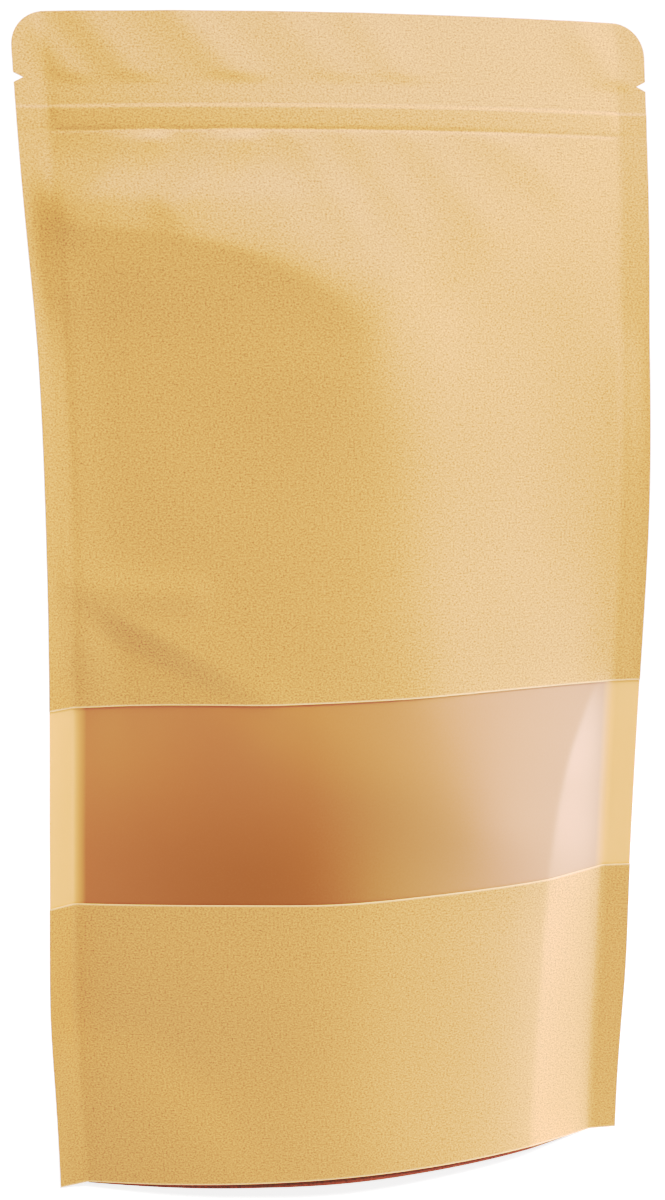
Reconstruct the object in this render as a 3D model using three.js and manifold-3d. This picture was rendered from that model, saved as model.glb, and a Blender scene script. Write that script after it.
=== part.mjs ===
// Kraft stand-up bag, shut and empty, with a frosted window strip and a folded bottom.
// Millimetres, +Z up. The front faces -Y, and the origin is under the middle of the bag's box.
import * as THREE from 'three';
import { mergeVertices } from 'three/addons/utils/BufferGeometryUtils.js';
import Module from 'manifold-3d';

const wasm = await Module();
wasm.setup();

const { clamp, degToRad, lerp, smoothstep } = THREE.MathUtils;

// ---- the flat bag ----
const WIDTH = 160;
const HEIGHT = 300;
const SIDE_SEAL = 7.5;
const PANEL = WIDTH - 2 * SIDE_SEAL;
const CORNER_RADIUS = 8.5;
const PUNCH_REACH = 50; // further than the bag goes to its front and back
const GUSSET_FOLD = 50;
const WALL = 1.6; // two plies sealed together, drawn thicker than paper

// ---- the window strip ----
const WINDOW_LOW = 79;
const WINDOW_HIGH = 131;
const FILM_THICKNESS = 0.5;
const FILM_GAP = 0.5; // the strip is bent, so its faces need more room than flat ones
const STEP_RISE = 0.2; // half the height over which the paper's cut edge steps in

// ---- the zip and the tear notches ----
// Raised bands: the zip's tape lifts the paper a little, and its ribs lift it more.
const ZIP_TAPE = { low: 268.8, high: 280.4, flank: 0.6, relief: 0.3 };
const ZIP_RIBS = { low: 270.9, high: 275.7, flank: 1.2, relief: 0.7 };
const ZIP_END = 0.03; // where it sinks into the seals, as a share of half the panel
const NOTCH_DROP = 15.8;
const NOTCH_DEPTH = 2.4;
const NOTCH_HALF_MOUTH = 1.4;
const NOTCH_TIP_RADIUS = 0.5;

// ---- how the opened bag stands ----
// Bulge of the front panel's crest ahead of its two seals, by height.
const FRONT_CREST = [[0, 15.5], [100, 10.5], [165, 12.5], [221, 13], [277, 8.5], [300, 6.5]];
// Bulge of the back panel behind the same seals, below the shut top.
const BACK_BELLY = [[0, 14], [90, 9.5], [180, 9]];
const BACK_SHUT_LOW = 180;
const BACK_SHUT_HIGH = 262;
// The seals' forward bow over the height, and the turn of the shut top.
const LEAN = 13;
const LEAN_SPAN = 310;
const LEAN_POWER = 1.3;
const TOP_TURN = 2;
const TURN_START = 200;
// A slight sideways lean of the middle, and the width gained or lost by the folds.
const SWAY = { base: -1, reach: 2.2, height: 190, span: 75 };
const FLARE = { reach: 0.9, height: 46, span: 26 };
const PINCH = { reach: -0.7, height: 125, span: 40 };
// The side seals fold forward below the zip.
const LEFT_FOLD = degToRad(33);
const RIGHT_FOLD = degToRad(9);
const FOLD_BASE = -30;
const FOLD_FULL = 40;
const FOLD_FADE_LOW = 215;
const FOLD_FADE_HIGH = 275;
// Two ridges leave the seals under the zip and meet over the crest at the shoulder.
const LEFT_RIDGE = { seal: 248, shoulder: 219, crest: 0 };
const RIGHT_RIDGE = { seal: 259, shoulder: 226, crest: 0.27, power: 1.5 };
const SHOULDER_LOW = 210;
const SHOULDER_HIGH = 262;
const ARCH_LOW = 60;
const ARCH_HIGH = 165;
const RIDGE_ROUNDING = 0.05;
// A dent runs from a pinched spot of the left seal down to the window.
const DENT = { height: 160, slope: 0.62, depth: 2.6, run: 46, width: 20, start: 3 };
// The middle of the front's bottom edge stands a little off the ground.
const EDGE_LIFT = 1.2;
const LIFT_FADE_LOW = 150;
const LIFT_FADE_HIGH = 260;

// ---- the hollow under the bag ----
const GAP = 0.3;
const RIM = 1.5;
const GUSSET_THICKNESS = 0.6;
const GUSSET_REACH = 0.9;
const CREASE_WIDTH = 2.2;
const BELOW = 1;

const KRAFT = new THREE.MeshStandardMaterial({ color: '#d8a765', roughness: 0.8, metalness: 0 });
const FILM = new THREE.MeshStandardMaterial({ color: '#d9a878', roughness: 0.45, metalness: 0 });
const FOLDED_KRAFT = new THREE.MeshStandardMaterial({ color: '#6b3a20', roughness: 0.85, metalness: 0 });

// ---- small curves ----

// A smooth curve through stations of [height, value].
function through(stations, height) {
  const last = stations.length - 1;
  let i = 0;
  while (i < last - 1 && height > stations[i + 1][0]) i += 1;
  const slopeAt = (k) => {
    const a = stations[Math.max(k - 1, 0)];
    const b = stations[Math.min(k + 1, last)];
    return (b[1] - a[1]) / (b[0] - a[0]);
  };
  const [low, high] = [stations[i], stations[i + 1]];
  const span = high[0] - low[0];
  const t = clamp((height - low[0]) / span, 0, 1);
  const rise = t * t * (3 - 2 * t);
  const leave = t * (1 - t) * (1 - t) * span * slopeAt(i);
  const arrive = t * t * (t - 1) * span * slopeAt(i + 1);
  return lerp(low[1], high[1], rise) + leave + arrive;
}

function bell({ reach, height, span }, z) {
  return reach * Math.exp(-(((z - height) / span) ** 2));
}

function roundedMin(a, b, rounding) {
  return 0.5 * (a + b - Math.hypot(a - b, rounding));
}

// ---- the standing bag's surfaces ----

// The frame between the side edges at one height.
function frameAt(z) {
  const bow = LEAN * Math.sin(Math.PI * (z / LEAN_SPAN) ** LEAN_POWER);
  const turn = TOP_TURN * clamp((z - TURN_START) / (HEIGHT - TURN_START), 0, 1) ** 2;
  const fold = smoothstep(z, FOLD_BASE, FOLD_FULL) * (1 - smoothstep(z, FOLD_FADE_LOW, FOLD_FADE_HIGH));
  const left = { y: -(bow - turn), fold: LEFT_FOLD * fold };
  const right = { y: -(bow + turn), fold: RIGHT_FOLD * fold };
  const crest = through(FRONT_CREST, z);
  const arc = PANEL - (8 * crest ** 2) / (3 * PANEL);
  left.inner = left.y + SIDE_SEAL * Math.sin(left.fold);
  right.inner = right.y + SIDE_SEAL * Math.sin(right.fold);
  const chord = Math.sqrt(arc ** 2 - (right.inner - left.inner) ** 2);
  const leftSeal = SIDE_SEAL * Math.cos(left.fold);
  const rightSeal = SIDE_SEAL * Math.cos(right.fold);
  const middle = SWAY.base + bell(SWAY, z);
  const start = middle - (leftSeal + chord + rightSeal) / 2;
  return { left, right, crest, chord, leftSeal, rightSeal, start, width: leftSeal + chord + rightSeal };
}

// Where the two ridges cross this height, -1 and 1 being the seals.
function ridgesAt(z) {
  const arch = smoothstep(z, ARCH_LOW, ARCH_HIGH);
  const climbLeft = clamp((z - LEFT_RIDGE.shoulder) / (LEFT_RIDGE.seal - LEFT_RIDGE.shoulder), 0, 1);
  const climbRight = clamp((z - RIGHT_RIDGE.shoulder) / (RIGHT_RIDGE.seal - RIGHT_RIDGE.shoulder), 0, 1);
  const left = -1 + (1 + LEFT_RIDGE.crest) * arch * Math.sqrt(1 - climbLeft ** 2);
  const right = 1 - (1 - RIGHT_RIDGE.crest) * arch * (1 - climbRight ** RIGHT_RIDGE.power);
  return { left, right };
}

// The front panel's bulge at this height, as a share of its crest: an arch cut by two flat sides.
function frontProfile(across, z) {
  const { left, right } = ridgesAt(z);
  const arch = 1 - across ** 2;
  const leftSide = (1 - left) * (1 + across);
  const rightSide = (1 + right) * (1 - across);
  const cut = roundedMin(roundedMin(arch, leftSide, RIDGE_ROUNDING), rightSide, RIDGE_ROUNDING);
  return Math.max(cut, 0);
}

// The paper falls away below a line that leaves the left seal and runs down to the right.
function dentAt(fromSeal, z) {
  const line = DENT.height - DENT.slope * fromSeal;
  const below = line - z;
  const fall = smoothstep(below, -DENT.start, DENT.start) * Math.exp(-((below / DENT.width) ** 2));
  const fade = Math.exp(-((fromSeal / DENT.run) ** 2)) * smoothstep(fromSeal, 0, 2 * DENT.start);
  return DENT.depth * fall * fade;
}

// Spreads a flat distance s from the left edge over the standing bag: x, the seals' line y, and across.
function spread(s, z) {
  const frame = frameAt(z);
  const across = clamp(((s - SIDE_SEAL) / PANEL) * 2 - 1, -1, 1);
  const u = (s / WIDTH) * 2 - 1;
  const widen = u * (bell(FLARE, z) + bell(PINCH, z));
  let x = frame.start + frame.leftSeal + (frame.chord * (across + 1)) / 2;
  let y = lerp(frame.left.inner, frame.right.inner, (across + 1) / 2);
  if (s < SIDE_SEAL) {
    x = frame.start + s * Math.cos(frame.left.fold);
    y = frame.left.y + s * Math.sin(frame.left.fold);
  } else if (s > WIDTH - SIDE_SEAL) {
    x = frame.start + frame.width - (WIDTH - s) * Math.cos(frame.right.fold);
    y = frame.right.y + (WIDTH - s) * Math.sin(frame.right.fold);
  }
  return { x: x + widen, y, across, crest: frame.crest };
}

// How far a raised band lifts the paper at this height.
function bandRelief({ low, high, flank, relief }, z) {
  return relief * (smoothstep(z, low - flank, low) - smoothstep(z, high, high + flank));
}

function zipRelief(across, z) {
  const ends = smoothstep(1 - Math.abs(across), 0, ZIP_END);
  return (bandRelief(ZIP_TAPE, z) + bandRelief(ZIP_RIBS, z)) * ends;
}

function frontPoint(s, z, inset = 0) {
  const { x, y, across, crest } = spread(s, z);
  const bulge = crest * frontProfile(across, z) - dentAt(s - SIDE_SEAL, z) + zipRelief(across, z);
  const lift = EDGE_LIFT * (1 - across ** 2) * (1 - smoothstep(z, LIFT_FADE_LOW, LIFT_FADE_HIGH));
  return [x, y - bulge + inset, z + lift];
}

function backPoint(s, z) {
  const { x, y, across, crest } = spread(s, z);
  const shut = smoothstep(z, BACK_SHUT_LOW, BACK_SHUT_HIGH);
  const bulge = lerp(through(BACK_BELLY, z), -crest, shut) * (1 - across ** 2);
  return [x, y + WALL + bulge, z];
}

// ---- making solids ----

// Places between two ends, both included unless the stretch follows another.
function stretch(from, to, steps, skipFirst = false) {
  const places = [];
  for (let i = skipFirst ? 1 : 0; i <= steps; i += 1) places.push(lerp(from, to, i / steps));
  return places;
}

// A closed body: a box whose grid of columns and rows is moved to place(column, row, isFront).
function mappedBox(columns, rows, place) {
  const across = columns.length - 1;
  const up = rows.length - 1;
  const box = new THREE.BoxGeometry(1, 1, 1, across, 1, up);
  const corners = box.attributes.position;
  for (let i = 0; i < corners.count; i += 1) {
    const column = Math.round((corners.getX(i) + 0.5) * across);
    const row = Math.round((corners.getZ(i) + 0.5) * up);
    corners.setXYZ(i, ...place(columns[column], rows[row], corners.getY(i) < 0));
  }
  return box;
}

function toSolid(geometry) {
  const bare = geometry.clone();
  bare.deleteAttribute('normal');
  bare.deleteAttribute('uv');
  const merged = mergeVertices(bare, 1e-4);
  return new wasm.Manifold(new wasm.Mesh({
    numProp: 3,
    vertProperties: new Float32Array(merged.attributes.position.array),
    triVerts: new Uint32Array(merged.index.array),
  }));
}

function toGeometry(solid) {
  const { vertProperties, triVerts } = solid.getMesh();
  const geometry = new THREE.BufferGeometry();
  geometry.setAttribute('position', new THREE.BufferAttribute(vertProperties, 3));
  geometry.setIndex(new THREE.BufferAttribute(triVerts, 1));
  geometry.computeVertexNormals();
  return geometry;
}

// A flat outline in X and Z, drawn out along Y on both sides of the bag.
function punch(outline) {
  const options = { depth: 2 * PUNCH_REACH, bevelEnabled: false, curveSegments: 8 };
  const geometry = new THREE.ExtrudeGeometry(outline, options);
  geometry.rotateX(Math.PI / 2);
  geometry.translate(0, PUNCH_REACH, 0);
  return toSolid(geometry);
}

// side is -1 for the left edge and 1 for the right.
function edgeX(side, z) {
  return backPoint(side < 0 ? 0 : WIDTH, z)[0];
}

function cornerPunch(side) {
  const edge = edgeX(side, HEIGHT - CORNER_RADIUS);
  const centre = edge - side * CORNER_RADIUS;
  const outside = edge + side * CORNER_RADIUS;
  const outline = new THREE.Shape();
  outline.moveTo(outside, HEIGHT + CORNER_RADIUS);
  outline.lineTo(centre, HEIGHT + CORNER_RADIUS);
  outline.lineTo(centre, HEIGHT);
  const end = side < 0 ? Math.PI : 0;
  outline.absarc(centre, HEIGHT - CORNER_RADIUS, CORNER_RADIUS, Math.PI / 2, end, side > 0);
  outline.lineTo(outside, HEIGHT - CORNER_RADIUS);
  return punch(outline);
}

function notchPunch(side) {
  const z = HEIGHT - NOTCH_DROP;
  const edge = edgeX(side, z);
  const tip = edge - side * (NOTCH_DEPTH - NOTCH_TIP_RADIUS);
  const outside = edge + side * NOTCH_DEPTH;
  const mouth = NOTCH_HALF_MOUTH * 2 - NOTCH_TIP_RADIUS;
  const outline = new THREE.Shape();
  outline.moveTo(outside, z + mouth);
  outline.absarc(tip, z, NOTCH_TIP_RADIUS, Math.PI / 2, -Math.PI / 2, side < 0);
  outline.lineTo(outside, z - mouth);
  return punch(outline);
}

// ---- the hollow under the bag, as nested wedges ----

// A wedge that follows the bottom's two curved edges and closes at the gusset's crease.
// inset moves its two faces inwards, and drop lowers its crease.
function gussetWedge(inset, drop, reach, floor) {
  const inner = SIDE_SEAL + (PANEL * (1 - reach)) / 2;
  const columns = stretch(inner, WIDTH - inner, 24);
  const crease = CREASE_WIDTH / 2 + RIM - inset;
  return mappedBox(columns, [0, 0.35, 0.7, 1], (s, share, isFront) => {
    const gape = (backPoint(s, 0)[1] - frontPoint(s, 0)[1]) / 2;
    const top = Math.sqrt(GUSSET_FOLD ** 2 - gape ** 2) - drop;
    const z = lerp(floor, top, share);
    const front = frontPoint(s, Math.max(z, 0));
    const back = backPoint(s, Math.max(z, 0));
    const half = lerp(Math.max(gape - inset, crease), crease, clamp(z / top, 0, 1));
    return [(front[0] + back[0]) / 2, (front[1] + back[1]) / 2 + (isFront ? -half : half), z];
  });
}

// ---- the nodes ----

const COLUMNS = [
  ...stretch(0, SIDE_SEAL, 2),
  ...stretch(SIDE_SEAL, WIDTH - SIDE_SEAL, 26, true),
  ...stretch(WIDTH - SIDE_SEAL, WIDTH, 2, true),
];

function kraftBody() {
  const recess = FILM_THICKNESS + FILM_GAP;
  const rows = [
    ...stretch(0, WINDOW_LOW - STEP_RISE, 8),
    ...stretch(WINDOW_LOW + STEP_RISE, WINDOW_HIGH - STEP_RISE, 6),
    ...stretch(WINDOW_HIGH + STEP_RISE, SHOULDER_LOW, 9),
    ...stretch(SHOULDER_LOW, SHOULDER_HIGH, 9, true),
    ZIP_TAPE.low - ZIP_TAPE.flank,
    ZIP_RIBS.low - ZIP_RIBS.flank,
    ZIP_RIBS.low,
    ZIP_RIBS.high,
    ZIP_RIBS.high + ZIP_RIBS.flank,
    ZIP_TAPE.high,
    ...stretch(ZIP_TAPE.high + ZIP_TAPE.flank, HEIGHT, 3),
  ];
  const body = mappedBox(COLUMNS, rows, (s, z, isFront) => {
    const inWindow = z > WINDOW_LOW && z < WINDOW_HIGH;
    return isFront ? frontPoint(s, z, inWindow ? recess : 0) : backPoint(s, z);
  });
  let solid = toSolid(body);
  for (const side of [-1, 1]) {
    solid = solid.subtract(cornerPunch(side));
    solid = solid.subtract(notchPunch(side));
  }
  solid = solid.subtract(toSolid(gussetWedge(RIM, 0, GUSSET_REACH, -BELOW)));
  return toGeometry(solid);
}

function windowFilm() {
  const clear = STEP_RISE + GAP;
  const rows = stretch(WINDOW_LOW + clear, WINDOW_HIGH - clear, 6);
  return mappedBox(COLUMNS, rows, (s, z, isFront) => frontPoint(s, z, isFront ? 0 : FILM_THICKNESS));
}

function bottomGusset() {
  const outer = toSolid(gussetWedge(RIM + GAP, GAP, GUSSET_REACH - 0.01, 0));
  const inset = RIM + GAP + GUSSET_THICKNESS;
  const inner = toSolid(gussetWedge(inset, GAP + 2 * GUSSET_THICKNESS, GUSSET_REACH + 0.02, -BELOW));
  return toGeometry(outer.subtract(inner));
}

function node(name, geometry, material) {
  const mesh = new THREE.Mesh(geometry, material);
  mesh.name = name;
  return mesh;
}

const bag = new THREE.Group();
bag.add(node('kraft_body', kraftBody(), KRAFT));
bag.add(node('window_film', windowFilm(), FILM));
bag.add(node('bottom_gusset', bottomGusset(), FOLDED_KRAFT));

// The origin goes under the middle of the bag's box.
const centre = new THREE.Box3().setFromObject(bag).getCenter(new THREE.Vector3());
bag.position.set(-centre.x, -centre.y, 0);

export default bag;
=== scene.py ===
"""Kraft window bag: thin paper panels, frosted film and a folded bottom around the CAD part.

The surfaces are worked out in millimetres as functions of s and z, where s is the flat distance from the
left edge and z is the height.
"""

import bpy
import numpy as np
from mathutils import Matrix, Vector


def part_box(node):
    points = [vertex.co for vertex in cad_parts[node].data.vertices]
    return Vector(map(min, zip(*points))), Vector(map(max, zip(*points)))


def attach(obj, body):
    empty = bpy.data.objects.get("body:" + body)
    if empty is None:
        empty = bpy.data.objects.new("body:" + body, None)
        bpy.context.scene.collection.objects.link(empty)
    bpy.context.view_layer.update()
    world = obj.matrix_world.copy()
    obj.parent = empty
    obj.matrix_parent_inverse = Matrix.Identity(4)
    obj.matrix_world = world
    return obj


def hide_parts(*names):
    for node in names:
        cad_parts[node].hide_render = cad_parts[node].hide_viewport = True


MM = 0.001

# ---- the flat bag, mm ----
WIDTH = 160.0
HEIGHT = 300.0
SIDE_SEAL = 7.5
PANEL = WIDTH - 2 * SIDE_SEAL
CORNER_RADIUS = 8.5
GUSSET_FOLD = 50.0
WINDOW_LOW = 79.0
WINDOW_HIGH = 131.0
NOTCH_DROP = 15.8
NOTCH_DEPTH = 2.4
NOTCH_HALF_MOUTH = 1.2
ZIP = {
    "tape_high": 283.0,
    "top": 277.2,
    "foot": 271.6,
    "tape_relief": 0.12,
    "relief": 0.6,
    "edge": 0.45,
    "hollow": 0.8,
    "groove": 0.15,
    "groove_width": 0.5,
    "in_seal": 0.25,  # the share of the relief that is left on the side seals
    "end": 0.03,
}

# ---- the sheets, mm ----
PAPER = 0.25
FILM = 0.1
LAP = 3.0
FILM_GAP = 0.05
BACK_GAP = 0.3
GUSSET_INSET = 3 * PAPER
CAD_WALL = 1.6
GRID_STEP = 1.0
ZIP_STEP = 0.25
ZIP_MARGIN = 2  # the fine rows start this far below the zip
BOX_SAMPLES = 601
CORNER_ROWS = 16
NOTCH_ROWS = 17
GUSSET_ROWS = 30
GUSSET_COLUMNS = 120
UV_UNIT = 100.0  # one unit of the "flat" map is this much flat paper

# ---- how the opened bag stands ----
# The CAD part stands by the same values down to EDGE_LIFT, but for the ridges' rounding and the dent. Those
# two were fitted to the photo's shading, as the folds below were.
FRONT_CREST = [(0, 15.5), (100, 10.5), (165, 12.5), (221, 13), (277, 8.5), (300, 6.5)]
BACK_BELLY = [(0, 14), (90, 9.5), (180, 9)]
BACK_SHUT = (180, 262)
LEAN = 13.0
LEAN_SPAN = 310.0
LEAN_POWER = 1.3
TOP_TURN = 2.0
TURN_START = 200.0
SWAY_BASE = -1.0
SWAY = {"reach": 2.2, "height": 190, "span": 75}
FLARE = {"reach": 0.9, "height": 46, "span": 26}
PINCH = {"reach": -0.7, "height": 125, "span": 40}
LEFT_FOLD = np.radians(33)
RIGHT_FOLD = np.radians(9)
FOLD_RISE = (-30, 40)
FOLD_FADE = (215, 275)
LEFT_RIDGE = {"seal": 248, "shoulder": 219, "crest": 0.0}
RIGHT_RIDGE = {"seal": 259, "shoulder": 226, "crest": 0.27, "power": 1.5}
ARCH = (60, 165)
RIDGE_ROUNDING = [(150, 0.09), (185, 0.21), (222, 0.05), (300, 0.03)]
DENT = {"height": 157, "slope": 0.57, "depth": 3.4, "run": 37.5, "width": 26, "start": 4.5, "full": 14}
LIFT_FADE = (150, 260)
EDGE_LIFT = 1.2
FOOT_LIFT = 0.5
FOOT_FADE = (0, 70)
GUSSET_EDGE = 0.7  # the gusset hangs below the lifted front edge, at this share of its height
SHARE_OF_BACK = 0.7  # the front caves in no further than this share of the back's bulge

# ---- folds pressed into the front ----
# Each is a soft ridge along a line of flat points, or a groove where its height is under 0. The lines were
# first drawn along the photo's creases. A fit of the shading to the photo then moved them and chose heights
# and widths, also of the belly and the side crease. The results were rounded and partly changed.
HEADER_FOLDS = [
    {"line": ((5, 296), (16, 281)), "height": 0.42, "width": 3.6},
    {"line": ((17, 299), (31, 281)), "height": 0.36, "width": 4.4},
    {"line": ((38, 301), (55, 282)), "height": 0.45, "width": 5},
    {"line": ((63, 301), (80, 282)), "height": 0.22, "width": 5.5},
    {"line": ((83, 300), (95, 283)), "height": 0.28, "width": 5.2},
    {"line": ((143, 296), (154, 283)), "height": 0.42, "width": 5.2},
]
NECK_FOLDS = [
    {"line": ((30, 270), (11, 251)), "height": 1.2, "width": 5},
    {"line": ((52, 270), (35, 253)), "height": 1.0, "width": 5},
    {"line": ((65, 272), (78, 249)), "height": 0.28, "width": 4.6},
    {"line": ((80, 272), (94, 248)), "height": 0.2, "width": 4.5},
    {"line": ((95, 271), (112, 250)), "height": 0.2, "width": 5},
    {"line": ((115, 272), (135, 257)), "height": 0.25, "width": 5},
]
SHOULDER_FOLDS = [
    {"line": ((7, 247), (59, 242), (82, 233)), "height": 2.2, "width": 15.5},
    {"line": ((10, 245), (70, 215)), "height": 1.8, "width": 20},
    {"line": ((12, 261), (60, 257)), "height": 0.22, "width": 8},
    {"line": ((23, 232), (7, 168)), "height": 0.6, "width": 18},
    {"line": ((7, 170), (7, 232)), "height": 1.1, "width": 6.5},
    {"line": ((14, 225), (35, 180)), "height": 0.3, "width": 13},
    {"line": ((54, 215), (58, 170)), "height": 1.7, "width": 46},
]
SIDE_FOLDS = [
    {"line": ((105, 225), (106, 135)), "height": -0.75, "width": 15},
    {"line": ((129, 251), (129, 170)), "height": -1.0, "width": 17},
    {"line": ((130, 243), (151, 209)), "height": 0.9, "width": 22.5},
    {"line": ((154, 215), (154, 135)), "height": 0.65, "width": 6.5},
]
DENT_FOLDS = [
    {"line": ((5, 162), (36, 159)), "height": 0.8, "width": 4.6},
    {"line": ((4, 158), (47, 128)), "height": 1.55, "width": 12.6},
    {"line": ((10, 145), (20, 134)), "height": 0.8, "width": 9.5},
    {"line": ((30, 150), (70, 140)), "height": 0.4, "width": 13},
]
WINDOW_FOLDS = [
    {"line": ((57, 123), (137, 82)), "height": 0.8, "width": 12.5},
    {"line": ((97, 129), (111, 101)), "height": 1.05, "width": 15.7},
    {"line": ((30, 110), (60, 80)), "height": -0.45, "width": 18.5},
]
FOOT_FOLDS = [
    {"line": ((2, 50), (44, 34)), "height": -1.5, "width": 17},
    {"line": ((40, 70), (39, 30)), "height": -0.4, "width": 17.5},
    {"line": ((73, 75), (76, 10)), "height": 1.25, "width": 17},
    {"line": ((138, 75), (136, 10)), "height": -0.7, "width": 10.5},
    {"line": ((0, 49), (28, 42), (52, 8)), "height": -0.4, "width": 7},
    {"line": ((12, 23), (29, 12)), "height": 3.1, "width": 44},
    {"line": ((0, 54), (7, 51)), "height": 0.25, "width": 1.5},
    {"line": ((0, 26), (7, 23)), "height": 0.2, "width": 1.5},
]
SMALL_FOLDS = HEADER_FOLDS + NECK_FOLDS
LARGE_FOLDS = SHOULDER_FOLDS + SIDE_FOLDS + DENT_FOLDS + WINDOW_FOLDS + FOOT_FOLDS
SMALL_FADE = (-1, 3)  # how far from the zip the small folds fade in
LARGE_FADE = (0, 18)
SEAL_FADE = 9
BELLY = {"middle": (74, 62), "height": 7.0, "width": 97}
SIDE_CREASE = {
    "line": [(0, 130), (79, 133), (110, 138), (131, 147)],
    "height": 3.9,
    "reach": 79,
    "fade": (105, 140),
    "rounding": 0.08,
}

# ---- materials, with lengths in mm and tones in the 0 to 255 of a picture ----
TONES = {
    "paper": (160, 104, 61),
    # The inner side, darker and more saturated: partly the lined inside's own colour, partly painted shade
    # of the closed bag.
    "paper_inside_shaded": (140, 78, 34),
    "cloud": (140, 90, 48),
    "pale_grain": (208, 156, 100),
    "dark_grain": (106, 62, 30),
    "fibre": (84, 48, 24),
    # A painted highlight along the paper's cut edges.
    "cut_edge_highlight": (222, 184, 140),
    "film": (166, 110, 70),
    # Painted shade of the bag's inside, seen through the film low on the left.
    "film_painted_shade": (134, 88, 36),
    # A painted sheen: the pale film tone towards the right, where the light falls on it.
    "film_painted_sheen": (180, 142, 126),
    "film_seal": (222, 160, 108),
    # The gusset's two tones are painted shade: far darker than the same kraft elsewhere.
    "gusset_shade_dark": (104, 50, 30),
    "gusset_shade_light": (134, 70, 42),
}
NOISE_SPAN = (0.3, 0.7)  # where nearly all of a noise's values lie
GRAIN_SIZE = (0.5, 0.42)
GRAIN_STRENGTH = 0.8
PALE_GRAIN = (0.35, 0.75)  # the noise values between which the pale grain comes in
DARK_GRAIN = (0.45, 0.25)
GRAIN_BUMP = {"Strength": 0.25, "Distance": 0.1 * MM}
CLOUD_SIZE = (26, 18)
CLOUD_STRENGTH = 0.1
FIBRES = [
    {"length": 3.0, "thickness": 0.35, "turn": 0.25},
    {"length": 2.2, "thickness": 0.3, "turn": 1.3},
    {"length": 2.6, "thickness": 0.3, "turn": -0.7},
]
FIBRE_LEVEL = 0.8
FIBRE_EDGE = 0.06
FIBRE_STRENGTH = 0.45
CUT_HIGHLIGHT_STRENGTH = 0.7
# Where the film's painted shade lies: a dark patch low on the left.
FILM_SHADE_PATCH = {"middle": (54, 82), "radii": (85, 60), "edge": 0.9}
# Where the film's painted sheen comes in, from left to right.
FILM_SHEEN_SPAN = (65, 220)
FILM_GRAIN_SIZE = (0.5, 0.5)
FILM_GRAIN = 0.03
FILM_SEAL_FADE = (-3, 0.4)  # from the side seal's inner edge
GUSSET_GRAIN_SIZE = (0.8, 0.8)
BACKDROP_GREYS = (0.24, 0.25)

# ---- the studio: camera in mm and degrees, the rest in metres, degrees and watts ----
CAMERA = {"distance": 445, "yaw": 11.8, "pitch": 8.6, "roll": -0.70, "right": -3.2, "up": 4.1, "lens": 51.1}
LAMPS = {
    "side": {"azimuth": 100, "elevation": -8, "distance": 0.5, "size": 0.3, "power": 12},
    "key": {"azimuth": 60, "elevation": 45, "distance": 1.6, "size": 0.9, "power": 34},
    "top": {"azimuth": 0, "elevation": 65, "distance": 1.6, "size": 0.9, "power": 32},
}
LAMP_TARGET = Vector((0, 0, 0.15))
WORLD_STRENGTH = 0.3
BACKDROP = {"front": -6.0, "half_width": 5.0, "bend_start": 0.9, "bend": 0.6, "bend_points": 13, "top": 4.0}
# The lamps and the tone curve were found by fits to the photo's tones, and changed since.
TONE_WHITE = 1.6
TONE_CURVE = [(0.05, 0.03), (0.16, 0.125), (0.34, 0.392), (0.68, 0.645), (1.3, 0.871)]


# ---- small curves ----


def smoothstep(z, low, high):
    t = np.clip((z - low) / (high - low), 0, 1)
    return t * t * (3 - 2 * t)


def lerp(a, b, share):
    return a + (b - a) * share


def through(stations, height):
    """A smooth curve through stations of (height, value)."""
    places = np.array([place for place, _ in stations], float)
    values = np.array([value for _, value in stations], float)
    last = len(stations) - 1
    before = np.maximum(np.arange(last + 1) - 1, 0)
    after = np.minimum(np.arange(last + 1) + 1, last)
    slopes = (values[after] - values[before]) / (places[after] - places[before])
    i = np.clip(np.searchsorted(places, height, side="left") - 1, 0, last - 1)
    span = places[i + 1] - places[i]
    t = np.clip((height - places[i]) / span, 0, 1)
    rise = t * t * (3 - 2 * t)
    leave = t * (1 - t) ** 2 * span * slopes[i]
    arrive = t * t * (t - 1) * span * slopes[i + 1]
    return lerp(values[i], values[i + 1], rise) + leave + arrive


def bell(shape, z):
    return shape["reach"] * np.exp(-(((z - shape["height"]) / shape["span"]) ** 2))


def rounded_min(a, b, rounding):
    return 0.5 * (a + b - np.hypot(a - b, rounding))


# ---- the standing bag's surfaces ----


def side_lines(z):
    """Where each side edge stands in y, and the angle its seal is folded forward by."""
    bow = LEAN * np.sin(np.pi * (np.maximum(z, 0) / LEAN_SPAN) ** LEAN_POWER)
    turn = TOP_TURN * np.clip((z - TURN_START) / (HEIGHT - TURN_START), 0, 1) ** 2
    fold = smoothstep(z, *FOLD_RISE) * (1 - smoothstep(z, *FOLD_FADE))
    return (-(bow - turn), LEFT_FOLD * fold), (-(bow + turn), RIGHT_FOLD * fold)


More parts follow.
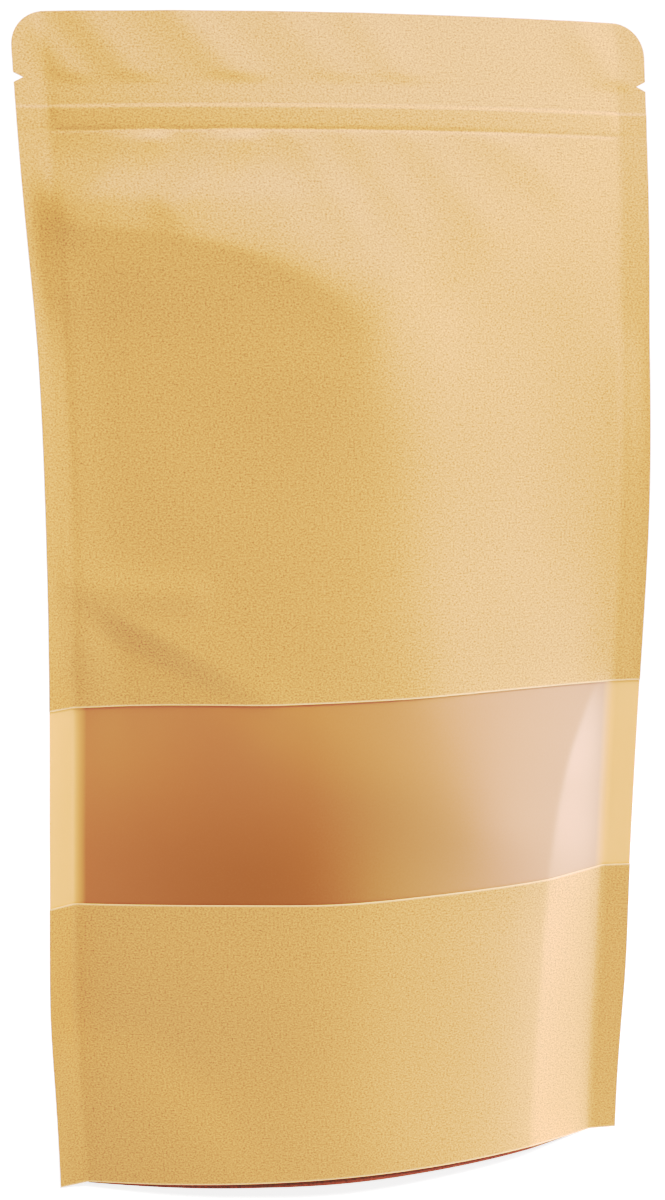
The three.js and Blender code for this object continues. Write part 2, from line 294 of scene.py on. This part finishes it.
def spread(s, z):
    """Places the flat point (s, z): its x and y in the seals' plane, how far across the panel it lies, from
    -1 to 1, and the crest's height there."""
    (left_y, left_fold), (right_y, right_fold) = side_lines(z)
    crest = through(FRONT_CREST, z)
    arc = PANEL - 8 * crest**2 / (3 * PANEL)
    left_inner = left_y + SIDE_SEAL * np.sin(left_fold)
    right_inner = right_y + SIDE_SEAL * np.sin(right_fold)
    chord = np.sqrt(arc**2 - (right_inner - left_inner) ** 2)
    left_seal = SIDE_SEAL * np.cos(left_fold)
    right_seal = SIDE_SEAL * np.cos(right_fold)
    width = left_seal + chord + right_seal
    start = SWAY_BASE + bell(SWAY, z) - width / 2
    across = np.clip((s - SIDE_SEAL) / PANEL * 2 - 1, -1, 1)
    x = start + left_seal + chord * (across + 1) / 2
    y = lerp(left_inner, right_inner, (across + 1) / 2)
    in_left = s < SIDE_SEAL
    in_right = s > WIDTH - SIDE_SEAL
    x = np.where(in_left, start + s * np.cos(left_fold), x)
    y = np.where(in_left, left_y + s * np.sin(left_fold), y)
    x = np.where(in_right, start + width - (WIDTH - s) * np.cos(right_fold), x)
    y = np.where(in_right, right_y + (WIDTH - s) * np.sin(right_fold), y)
    x = x + (s / WIDTH * 2 - 1) * (bell(FLARE, z) + bell(PINCH, z))
    return x, y, across, crest


def climb(ridge, z):
    """How far z has come from the ridge's shoulder, at 0, to the height where it meets the seal, at 1."""
    return np.clip((z - ridge["shoulder"]) / (ridge["seal"] - ridge["shoulder"]), 0, 1)


def front_profile(across, z):
    """The front's bulge as a share of its crest: an arch cut by two flat sides that meet it in ridges."""
    arch = smoothstep(z, *ARCH)
    left = -1 + (1 + LEFT_RIDGE["crest"]) * arch * np.sqrt(1 - climb(LEFT_RIDGE, z) ** 2)
    right = 1 - (1 - RIGHT_RIDGE["crest"]) * arch * (1 - climb(RIGHT_RIDGE, z) ** RIGHT_RIDGE["power"])
    rounding = through(RIDGE_ROUNDING, z) * (1 - across**2)
    cut = rounded_min(1 - across**2, (1 - left) * (1 + across), rounding)
    cut = rounded_min(cut, (1 + right) * (1 - across), rounding)
    return np.maximum(cut, 0)


def dent(s, z):
    """The paper falls away below a line that leaves the left seal and runs down to the right."""
    from_seal = s - SIDE_SEAL
    below = DENT["height"] - DENT["slope"] * from_seal - z
    fall = smoothstep(below, -DENT["start"], DENT["start"]) * np.exp(-((below / DENT["width"]) ** 2))
    fade = np.exp(-((from_seal / DENT["run"]) ** 2)) * smoothstep(from_seal, 0, DENT["full"])
    return DENT["depth"] * fall * fade


def zip_relief(across, z):
    """The zip's rib: its top edge stands out sharply, and its face slopes back to the tape's lower edge."""
    ends = lerp(ZIP["in_seal"], 1, smoothstep(1 - np.abs(across), 0, ZIP["end"]))
    tape = smoothstep(-z, -ZIP["tape_high"], -ZIP["top"]) * ZIP["tape_relief"]
    edge = smoothstep(-z, -ZIP["top"] - ZIP["edge"], -ZIP["top"] + ZIP["edge"]) * ZIP["relief"]
    slope = np.clip((z - ZIP["foot"]) / (ZIP["top"] - ZIP["foot"]), 0, 1)
    groove = ZIP["groove"] * np.exp(-(((z - ZIP["foot"]) / ZIP["groove_width"]) ** 2))
    return ((tape + edge) * slope ** ZIP["hollow"] - groove) * ends


def fold(shape, s, z):
    """A soft ridge along a line of flat points, fading out past its ends."""
    nearest = np.inf
    for (s0, z0), (s1, z1) in zip(shape["line"], shape["line"][1:]):
        share = ((s - s0) * (s1 - s0) + (z - z0) * (z1 - z0)) / ((s1 - s0) ** 2 + (z1 - z0) ** 2)
        share = np.clip(share, 0, 1)
        nearest = np.minimum(nearest, np.hypot(s - lerp(s0, s1, share), z - lerp(z0, z1, share)))
    return shape["height"] * np.exp(-((nearest / shape["width"]) ** 2))


def belly(s, z):
    """The lower front's broad swelling, none at the side seals."""
    middle_s, middle_z = BELLY["middle"]
    apart = ((s - middle_s) ** 2 + (z - middle_z) ** 2) / BELLY["width"] ** 2
    return BELLY["height"] * np.exp(-apart) * np.sin(np.pi * np.clip((s - SIDE_SEAL) / PANEL, 0, 1))


def side_crease(s, z):
    """Low on the right the paper turns towards its seal along a crease."""
    line = through(SIDE_CREASE["line"], z)
    before = np.exp((np.minimum(s, line) - line) / SIDE_CREASE["reach"])
    after = 1 - (np.maximum(s, line) - line) / (WIDTH - SIDE_SEAL - line)
    swell = rounded_min(before, np.maximum(after, 0), SIDE_CREASE["rounding"])
    fade = 1 - smoothstep(z, *SIDE_CREASE["fade"])
    return np.maximum(SIDE_CREASE["height"] * swell * fade, 0)


def pressed_folds(s, z):
    """All that is pressed into the front, towards the viewer. The folds fade at the zip and the sides."""
    from_zip = np.where(z > ZIP["top"], z - ZIP["tape_high"], ZIP["foot"] - z)
    clear = smoothstep(s, 0, SEAL_FADE) * smoothstep(WIDTH - s, 0, SEAL_FADE)
    small = sum(fold(shape, s, z) for shape in SMALL_FOLDS) * smoothstep(from_zip, *SMALL_FADE)
    large = sum(fold(shape, s, z) for shape in LARGE_FOLDS) * smoothstep(from_zip, *LARGE_FADE)
    return (small + large) * clear + belly(s, z) + side_crease(s, z)


def back_bulge(across, crest, z):
    """How far the back stands behind the seals. Above, it lies shut against the front."""
    return lerp(through(BACK_BELLY, z), -crest, smoothstep(z, *BACK_SHUT)) * (1 - across**2)


def front_point(s, z, inset=0.0):
    x, y, across, crest = spread(s, z)
    pushed = pressed_folds(s, z)
    bulge = crest * front_profile(across, z) - dent(s, z) + zip_relief(across, z) + pushed
    bulge = np.maximum(bulge, -SHARE_OF_BACK * back_bulge(across, crest, z))
    lift = EDGE_LIFT * (1 - across**2) * (1 - smoothstep(z, *LIFT_FADE))
    lift = lift + FOOT_LIFT * pushed * (1 - smoothstep(z, *FOOT_FADE))
    return np.stack([x, y - bulge + inset, z + lift], axis=-1)


def back_point(s, z, wall):
    x, y, across, crest = spread(s, z)
    return np.stack([x, y + wall + back_bulge(across, crest, z), z + 0 * s], axis=-1)


def gusset_point(s, share, inset):
    """The folded bottom: share is 0 at the front's edge, 0.5 at the crease and 1 at the back's edge."""
    front = front_point(s, 0 * s)
    back = back_point(s, 0 * s, 2 * PAPER)
    gape = (back[..., 1] - front[..., 1]) / 2
    top = np.sqrt(GUSSET_FOLD**2 - gape**2)
    rise = 1 - np.abs(2 * share - 1)
    z = lerp(np.where(share < 0.5, GUSSET_EDGE * front[..., 2], 0), top, rise)
    ahead = front_point(s, z)
    behind = back_point(s, z, 2 * PAPER)
    half = np.maximum(gape - inset, 0) * (1 - rise) + PAPER
    middle = (ahead + behind) / 2
    return np.stack([middle[..., 0], middle[..., 1] + np.where(share < 0.5, -half, half), z], axis=-1)


# ---- making meshes ----


def bag_shift():
    """The part's origin is under the middle of its box, the surfaces' origin between the seals' feet."""
    low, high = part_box("kraft_body")
    heights = np.linspace(0, HEIGHT, BOX_SAMPLES)
    right = spread(np.full_like(heights, WIDTH), heights)[0].max()
    back = BACK_BELLY[0][1] + CAD_WALL
    return np.array([high.x / MM - right, high.y / MM - back, 0.0])


def to_metres(points):
    return (points + SHIFT) * MM


def edge_inset(z):
    """How far the cut side edge lies inside the flat bag's straight side."""
    rise = np.clip(z - (HEIGHT - CORNER_RADIUS), 0, CORNER_RADIUS)
    corner = CORNER_RADIUS - np.sqrt(CORNER_RADIUS**2 - rise**2)
    notch = NOTCH_DEPTH * np.clip(1 - np.abs(z - (HEIGHT - NOTCH_DROP)) / NOTCH_HALF_MOUTH, 0, 1)
    return corner + notch


def flat_grid(low, high):
    """Flat places (s, z) between two heights, following the rounded corners and the notches."""
    rows = np.linspace(low, high, int(round((high - low) / GRID_STEP)) + 1)
    if high > HEIGHT - NOTCH_DROP:
        notch = np.linspace(-1, 1, NOTCH_ROWS) * NOTCH_HALF_MOUTH + HEIGHT - NOTCH_DROP
        turn = np.sin(np.linspace(0, np.pi / 2, CORNER_ROWS))
        corner = HEIGHT - CORNER_RADIUS + CORNER_RADIUS * turn
        off_notch = np.abs(rows - notch.mean()) > NOTCH_HALF_MOUTH
        plain = rows[(rows < HEIGHT - CORNER_RADIUS) & off_notch]
        zip_rows = np.arange(ZIP["foot"] - ZIP_MARGIN, notch[0], ZIP_STEP)
        rows = np.unique(np.concatenate([plain, notch, corner, zip_rows]))
    inset = edge_inset(rows)[:, None]
    share = np.linspace(0, 1, int(WIDTH / GRID_STEP) + 1)[None, :]
    return inset + (WIDTH - 2 * inset) * share, rows[:, None] + 0 * share


def shell_faces(rows, columns):
    """The faces of a shell on a grid, and its rim's points. The inner points follow the outer ones."""
    outer = np.arange(rows * columns).reshape(rows, columns)
    inner = outer + rows * columns
    outer_faces = np.stack([outer[:-1, :-1], outer[:-1, 1:], outer[1:, 1:], outer[1:, :-1]], -1)
    inner_faces = np.stack([inner[:-1, :-1], inner[1:, :-1], inner[1:, 1:], inner[:-1, 1:]], -1)
    ring = np.concatenate([outer[0, :-1], outer[:-1, -1], outer[-1, :0:-1], outer[:0:-1, 0]])
    following = np.roll(ring, -1)
    rim_faces = np.stack([following, ring, ring + rows * columns, following + rows * columns], -1)
    faces = np.concatenate([outer_faces.reshape(-1, 4), inner_faces.reshape(-1, 4), rim_faces])
    return faces, np.concatenate([ring, ring + rows * columns])


def sharpen_rim(mesh, rim):
    on_rim = np.zeros(len(mesh.vertices), bool)
    on_rim[rim] = True
    ends = np.zeros(2 * len(mesh.edges), np.int32)
    mesh.edges.foreach_get("vertices", ends)
    sharp = mesh.attributes.new("sharp_edge", "BOOLEAN", "EDGE")
    sharp.data.foreach_set("value", on_rim[ends.reshape(-1, 2)].all(axis=1))


def map_flat(mesh, flat):
    """Gives the mesh its flat places, as the map that the materials read."""
    side = np.stack(flat, -1).reshape(-1, 2) / UV_UNIT
    places = np.concatenate([side, side])
    corners = np.zeros(len(mesh.loops), np.int32)
    mesh.loops.foreach_get("vertex_index", corners)
    mesh.uv_layers.new(name="flat").data.foreach_set("uv", places[corners].ravel().astype(np.float32))


def mark_points(mesh, name, values):
    mesh.attributes.new(name, "FLOAT", "POINT").data.foreach_set("value", values.ravel())


def shell(name, outer, thickness, flat, cut_rows=()):
    """A thin closed shell behind a grid of points.

    From outside, the grid's rows go up and its columns go right. The painted highlight of a cut edge goes
    on cut_rows.
    """
    normal = np.cross(np.gradient(outer, axis=1), np.gradient(outer, axis=0))
    normal /= np.linalg.norm(normal, axis=-1, keepdims=True)
    inner = outer - normal * thickness
    rows, columns = outer.shape[:2]
    faces, rim = shell_faces(rows, columns)
    points = to_metres(np.concatenate([outer.reshape(-1, 3), inner.reshape(-1, 3)]))
    mesh = bpy.data.meshes.new(name)
    mesh.from_pydata(points.tolist(), [], faces.tolist())
    mesh.polygons.foreach_set("use_smooth", np.ones(len(faces), bool))
    sharpen_rim(mesh, rim)
    map_flat(mesh, flat)
    cut = np.zeros((2, rows, columns), np.float32)
    for row in cut_rows:
        cut[:, row, :] = 1
    mark_points(mesh, "cut", cut)
    inside = np.zeros((2, rows, columns), np.float32)
    inside[1] = 1
    mark_points(mesh, "inside", inside)
    piece = bpy.data.objects.new(name, mesh)
    bpy.context.scene.collection.objects.link(piece)
    return piece


# ---- materials ----


class Shader:
    """A material with one Principled surface, and short ways to add nodes to it."""

    def __init__(self, name, **settings):
        self.material = bpy.data.materials.new(name)
        self.material.use_nodes = True
        self.tree = self.material.node_tree
        self.surface = self.tree.nodes["Principled BSDF"]
        for socket, value in settings.items():
            self.surface.inputs[socket.replace("_", " ")].default_value = value

    def feed(self, socket, value):
        """Links a node's output to the socket, or sets the socket to a plain value."""
        if isinstance(value, bpy.types.NodeSocket):
            self.tree.links.new(value, socket)
        else:
            socket.default_value = value

    def node(self, kind, inputs=None, **settings):
        made = self.tree.nodes.new(kind)
        for key, value in settings.items():
            setattr(made, key, value)
        for key, value in (inputs or {}).items():
            self.feed(made.inputs[key], value)
        return made

    def flat(self):
        """Places on the flat paper, in units of UV_UNIT."""
        return self.node("ShaderNodeUVMap", uv_map="flat").outputs[0]

    def attribute(self, name):
        return self.node("ShaderNodeAttribute", attribute_name=name).outputs["Fac"]

    def mix(self, factor, a, b):
        made = self.node("ShaderNodeMix", data_type="RGBA")
        for index, value in ((0, factor), (6, a), (7, b)):
            self.feed(made.inputs[index], value)
        return made.outputs[2]

    def scaled(self, coordinates, size):
        """Flat places divided by a size in millimetres."""
        scale = (UV_UNIT / size[0], UV_UNIT / size[1], 1)
        return self.node("ShaderNodeMapping", {"Vector": coordinates, "Scale": scale}).outputs[0]

    def noise(self, vector, detail=2.0, roughness=0.5):
        inputs = {"Vector": vector, "Scale": 1.0, "Detail": detail, "Roughness": roughness}
        return self.node("ShaderNodeTexNoise", inputs).outputs["Fac"]

    def ramp(self, value, low, high, out_low=0.0, out_high=1.0, kind="LINEAR"):
        inputs = {"Value": value, "From Min": low, "From Max": high, "To Min": out_low, "To Max": out_high}
        return self.node("ShaderNodeMapRange", inputs, interpolation_type=kind).outputs[0]

    def math(self, operation, a, b=0.0):
        return self.node("ShaderNodeMath", {0: a, 1: b}, operation=operation).outputs[0]

    def join(self, output, socket):
        self.tree.links.new(output, self.surface.inputs[socket])


def grey(value):
    return (value, value, value, 1.0)


def colour(name):
    """One of the tones as linear light, by the sRGB standard's curve."""
    shares = np.array(TONES[name]) / 255
    linear = np.where(shares <= 0.04045, shares / 12.92, ((shares + 0.055) / 1.055) ** 2.4)
    return (*[float(value) for value in linear], 1.0)


def fibre_layer(shader, flat, length, thickness, turn):
    """Sparse short fibres that all lie one way, as a mask."""
    inputs = {"Vector": flat, "Angle": turn}
    turned = shader.node("ShaderNodeVectorRotate", inputs, rotation_type="Z_AXIS").outputs[0]
    value = shader.noise(shader.scaled(turned, (length, thickness)), detail=0.0)
    return shader.ramp(value, FIBRE_LEVEL, FIBRE_LEVEL + FIBRE_EDGE)


def kraft_paper():
    """Cloudy brown with grain, dark fibres and painted highlights on the cut edges. The inner side is
    darker: partly its own colour, partly painted shade.
    """
    shader = Shader("kraft_paper", Roughness=0.62, IOR=1.55)
    flat = shader.flat()
    grain = shader.noise(shader.scaled(flat, GRAIN_SIZE), detail=3.0, roughness=0.7)
    cloud = shader.noise(shader.scaled(flat, CLOUD_SIZE), detail=3.0)
    # Painted shade, in part: the inner side of every sheet is darker than the outside.
    base = shader.mix(shader.attribute("inside"), colour("paper"), colour("paper_inside_shaded"))
    base = shader.mix(shader.ramp(cloud, *NOISE_SPAN, 0.0, CLOUD_STRENGTH), base, colour("cloud"))
    base = shader.mix(shader.ramp(grain, *PALE_GRAIN, 0.0, GRAIN_STRENGTH), base, colour("pale_grain"))
    base = shader.mix(shader.ramp(grain, *DARK_GRAIN, 0.0, GRAIN_STRENGTH), base, colour("dark_grain"))
    fibres = 0.0
    for layer in FIBRES:
        fibres = shader.math("MAXIMUM", fibre_layer(shader, flat, **layer), fibres)
    base = shader.mix(shader.math("MULTIPLY", fibres, FIBRE_STRENGTH), base, colour("fibre"))
    # The cut edges get a painted highlight.
    cut = shader.ramp(shader.attribute("cut"), 0.5, 1.0, 0.0, CUT_HIGHLIGHT_STRENGTH)
    shader.join(shader.mix(cut, base, colour("cut_edge_highlight")), "Base Color")
    bump = shader.node("ShaderNodeBump", {"Height": grain, **GRAIN_BUMP})
    shader.join(bump.outputs[0], "Normal")
    return shader.material


def outside_film_shade(shader, flat):
    """How far a place is from the film's painted shade: 0 in the middle of the painted dark patch, 1
    outside it.
    """
    scale = [UV_UNIT / radius for radius in FILM_SHADE_PATCH["radii"]]
    place = [-middle / UV_UNIT * size for middle, size in zip(FILM_SHADE_PATCH["middle"], scale)]
    inputs = {"Vector": flat, "Location": (*place, 0), "Scale": (*scale, 0)}
    from_middle = shader.node("ShaderNodeMapping", inputs).outputs[0]
    apart = shader.node("ShaderNodeVectorMath", {0: from_middle}, operation="LENGTH").outputs["Value"]
    return shader.ramp(apart, 0.0, FILM_SHADE_PATCH["edge"], kind="SMOOTHSTEP")


def frosted_film():
    """Brown, with painted shade in a patch low on the left and a painted sheen towards the right;
    paper-coloured on the side seals.
    """
    shader = Shader("frosted_film", Roughness=0.5, IOR=1.4, Alpha=0.85)
    flat = shader.flat()
    grain = shader.noise(shader.scaled(flat, FILM_GRAIN_SIZE))
    from_left = shader.node("ShaderNodeSeparateXYZ", {"Vector": flat}).outputs["X"]
    # Painted shade: the film turns dark brown in a patch low on the left.
    tint = shader.mix(outside_film_shade(shader, flat), colour("film_painted_shade"), colour("film"))
    # Painted sheen: the film turns paler towards the right, with a little random grain on top.
    sheen_ramp = shader.ramp(from_left, *(place / UV_UNIT for place in FILM_SHEEN_SPAN))
    sheen_and_grain = shader.math("ADD", sheen_ramp, shader.ramp(grain, *NOISE_SPAN, -FILM_GRAIN, FILM_GRAIN))
    tint = shader.mix(sheen_and_grain, tint, colour("film_painted_sheen"))
    from_middle = shader.math("ABSOLUTE", shader.math("SUBTRACT", from_left, WIDTH / 2 / UV_UNIT))
    sealed = shader.ramp(from_middle, *((PANEL / 2 + place) / UV_UNIT for place in FILM_SEAL_FADE))
    shader.join(shader.mix(sealed, tint, colour("film_seal")), "Base Color")
    return shader.material


def gusset_paper():
    # Painted shade: the whole gusset is darker than the paper, and a noise mixes two shaded tones.
    shader = Shader("gusset_paper", Roughness=0.7)
    grain = shader.noise(shader.scaled(shader.flat(), GUSSET_GRAIN_SIZE))
    tint = shader.mix(shader.ramp(grain, *NOISE_SPAN), colour("gusset_shade_dark"), colour("gusset_shade_light"))
    shader.join(tint, "Base Color")
    return shader.material


def studio_white():
    """A softly glowing white, so that the background stays bright around the bag."""
    shader = Shader("studio_white", Roughness=0.9, Specular_IOR_Level=0.1, Emission_Strength=1.3)
    shader.surface.inputs["Emission Color"].default_value = grey(1.0)
    place = shader.node("ShaderNodeTexCoord").outputs["Object"]
    cloud = shader.noise(place, detail=1.0)
    shader.join(shader.mix(cloud, *(grey(value) for value in BACKDROP_GREYS)), "Base Color")
    return shader.material


# ---- the pieces ----


def dress(piece, material, slot, *replaced):
    piece.data.materials.append(material)
    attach(piece, "root")
    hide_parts(*replaced)


def front_panels(material):
    """The paper above and below the window."""
    s, z = flat_grid(WINDOW_HIGH, HEIGHT)
    upper = shell("front_upper_panel", front_point(s, z), PAPER, (s, z), cut_rows=(0,))
    s, z = flat_grid(0, WINDOW_LOW)
    lower = shell("front_lower_panel", front_point(s, z), PAPER, (s, z), cut_rows=(0, -1))
    for piece in (upper, lower):
        dress(piece, material, "kraft_paper", "kraft_body")


def back_panel(material):
    s, z = flat_grid(0, HEIGHT)
    outer = back_point(s, z, 2 * PAPER + BACK_GAP)[:, ::-1]
    piece = shell("back_panel", outer, PAPER, (s[:, ::-1], z))
    dress(piece, material, "kraft_paper", "kraft_body")


def window_film(material):
    """The film lies behind the paper and laps over the window's edges."""
    s, z = flat_grid(WINDOW_LOW - LAP, WINDOW_HIGH + LAP)
    piece = shell("window_film", front_point(s, z, PAPER + FILM_GAP), FILM, (s, z))
    dress(piece, material, "frosted_film", "window_film")


def bottom_gusset(material):
    climbing = np.linspace(0, 0.5, GUSSET_ROWS)
    share = np.concatenate([climbing, np.linspace(0.5, 1, GUSSET_ROWS)[1:]])[:, None]
    s = np.linspace(SIDE_SEAL, WIDTH - SIDE_SEAL, GUSSET_COLUMNS)[None, :] + 0 * share
    share = share + 0 * s
    flat = (s, share * 2 * GUSSET_FOLD)
    piece = shell("bottom_gusset", gusset_point(s, share, GUSSET_INSET), PAPER, flat)
    dress(piece, material, "gusset_paper", "bottom_gusset")


# ---- the studio ----


def place_camera():
    yaw, pitch, roll = (np.radians(CAMERA[key]) for key in ("yaw", "pitch", "roll"))
    back = np.array([-np.sin(yaw) * np.cos(pitch), -np.cos(yaw) * np.cos(pitch), np.sin(pitch)])
    level = np.array([np.cos(yaw), -np.sin(yaw), 0])
    upward = np.cross(back, level)
    right = level * np.cos(roll) + upward * np.sin(roll)
    up = upward * np.cos(roll) - level * np.sin(roll)
    aim = np.array([0, 0, HEIGHT / 2]) + right * CAMERA["right"] + up * CAMERA["up"]
    place = aim + back * CAMERA["distance"]
    data = bpy.data.cameras.new("camera")
    data.lens = CAMERA["lens"]
    camera = bpy.data.objects.new("camera", data)
    turn = Matrix([right, up, back]).transposed()
    camera.matrix_world = Matrix.Translation(Vector(to_metres(place))) @ turn.to_4x4()
    bpy.context.scene.collection.objects.link(camera)
    bpy.context.scene.camera = camera


def towards(azimuth, elevation):
    """A direction as seen from the bag: azimuth from the front towards the right."""
    a, e = np.radians([azimuth, elevation])
    return Vector((np.sin(a) * np.cos(e), -np.cos(a) * np.cos(e), np.sin(e)))


def area_light(name, azimuth, elevation, distance, size, power):
    data = bpy.data.lights.new(name, "AREA")
    data.size = size
    data.energy = power
    lamp = bpy.data.objects.new(name, data)
    direction = towards(azimuth, elevation)
    lamp.location = LAMP_TARGET + direction * distance
    lamp.rotation_euler = direction.to_track_quat("Z", "Y").to_euler()
    lamp.visible_camera = False
    bpy.context.scene.collection.objects.link(lamp)


def backdrop():
    """A floor that curves up into a wall behind the bag."""
    start, radius = BACKDROP["bend_start"], BACKDROP["bend"]
    bend = np.linspace(0, np.pi / 2, BACKDROP["bend_points"])
    depths = np.concatenate([[BACKDROP["front"]], start + radius * np.sin(bend), [start + radius]])
    heights = np.concatenate([[0.0], radius - radius * np.cos(bend), [BACKDROP["top"]]])
    sides = (-BACKDROP["half_width"], BACKDROP["half_width"])
    vertices = [(x, y, z) for x in sides for y, z in zip(depths, heights)]
    count = len(depths)
    faces = [(i, i + count, i + count + 1, i + 1) for i in range(count - 1)]
    mesh = bpy.data.meshes.new("backdrop")
    mesh.from_pydata(vertices, [], faces)
    mesh.polygons.foreach_set("use_smooth", np.ones(len(faces), bool))
    mesh.materials.append(studio_white())
    floor = bpy.data.objects.new("backdrop", mesh)
    bpy.context.scene.collection.objects.link(floor)


def tone_curve():
    """The camera's tone curve: it deepens the darks a little and rolls the lights off towards white."""
    view = bpy.context.scene.view_settings
    view.view_transform = "Standard"
    view.use_curve_mapping = True
    curves = view.curve_mapping
    curves.white_level = (TONE_WHITE, TONE_WHITE, TONE_WHITE)
    for scene_light, shown in TONE_CURVE:
        curves.curves[3].points.new(scene_light / TONE_WHITE, shown)
    curves.update()


def light_studio():
    world = bpy.data.worlds.new("studio")
    world.use_nodes = True
    background = world.node_tree.nodes["Background"]
    background.inputs["Color"].default_value = grey(1.0)
    background.inputs["Strength"].default_value = WORLD_STRENGTH
    bpy.context.scene.world = world
    for name, lamp in LAMPS.items():
        area_light(name, **lamp)


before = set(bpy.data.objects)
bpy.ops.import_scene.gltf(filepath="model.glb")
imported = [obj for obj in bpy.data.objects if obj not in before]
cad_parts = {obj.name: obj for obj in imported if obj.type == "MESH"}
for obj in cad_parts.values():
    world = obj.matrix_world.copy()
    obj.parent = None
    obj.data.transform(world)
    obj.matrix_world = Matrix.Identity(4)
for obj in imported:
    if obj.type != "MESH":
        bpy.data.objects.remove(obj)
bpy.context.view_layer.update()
SHIFT = bag_shift()
paper = kraft_paper()
front_panels(paper)
back_panel(paper)
window_film(frosted_film())
bottom_gusset(gusset_paper())
backdrop()
light_studio()
tone_curve()
place_camera()
